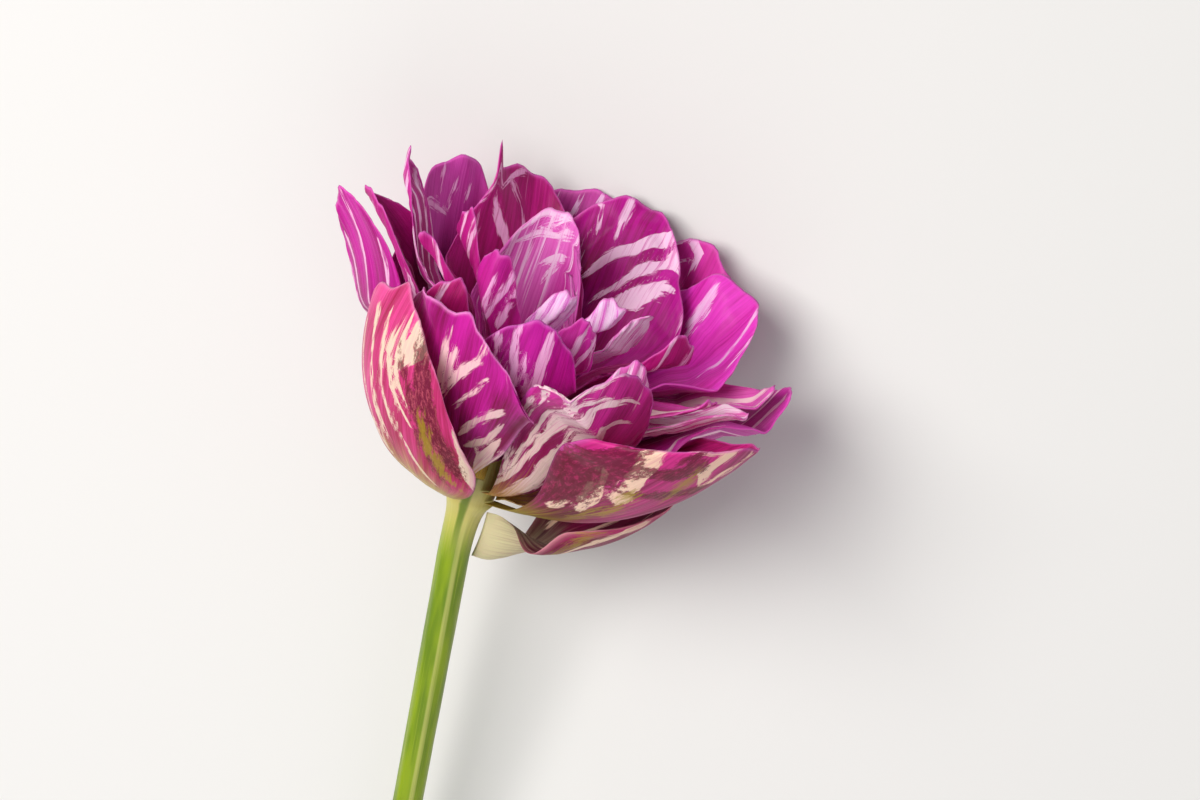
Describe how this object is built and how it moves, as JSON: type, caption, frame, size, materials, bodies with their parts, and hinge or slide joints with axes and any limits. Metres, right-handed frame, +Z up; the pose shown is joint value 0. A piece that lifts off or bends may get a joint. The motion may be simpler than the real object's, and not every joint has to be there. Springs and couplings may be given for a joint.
{
  "type": "double tulip cut flower",
  "caption": "Single cut double tulip lying on its side: a full bloom of flamed magenta and cream petals in layers on a bare green stem.",
  "frame": {"origin": "middle of the bounding box, on the surface that the flower lies on", "axes": "+X along the stem from its cut end towards the bloom, +Z up from the surface"},
  "size_m": [0.2171, 0.0918, 0.0627],
  "materials": {
    "petal_magenta": "satin",
    "petal_flamed_pale": "satin",
    "stem_green": "satin",
    "pistil_green": "satin"
  },
  "bodies": {
    "root": {"petal_bract": "petal_magenta", "petal_outer_front_right": "petal_magenta", "petal_outer_front_left": "petal_flamed_pale", "petal_outer_left": "petal_magenta", "petal_outer_back_left": "petal_magenta", "petal_outer_back": "petal_magenta", "petal_outer_right": "petal_magenta", "petal_outer_back_right": "petal_magenta", "petal_front_left": "petal_magenta", "petal_front_right": "petal_magenta", "petal_back_right": "petal_magenta", "petal_right_small": "petal_magenta", "petal_back_left_tall": "petal_magenta", "petal_back_fan": "petal_magenta", "petal_left_curled": "petal_magenta", "petal_front_centre": "petal_magenta", "petal_right_low": "petal_magenta", "petal_back_broad": "petal_magenta", "petal_right_front_low": "petal_magenta", "petal_left_middle": "petal_magenta", "petal_right_dark": "petal_magenta", "petal_left_narrow": "petal_magenta", "petal_inner_front": "petal_magenta", "petal_back_lobed": "petal_flamed_pale", "petal_inner_front_right": "petal_magenta", "petal_inner_left": "petal_magenta", "petal_inner_right_pale": "petal_flamed_pale", "petal_inner_back_left": "petal_magenta", "petal_inner_broad": "petal_magenta", "petal_heart_pale": "petal_flamed_pale", "petal_heart": "petal_flamed_pale", "stem": "stem_green", "pistil": "pistil_green"}
  },
  "joints": []
}
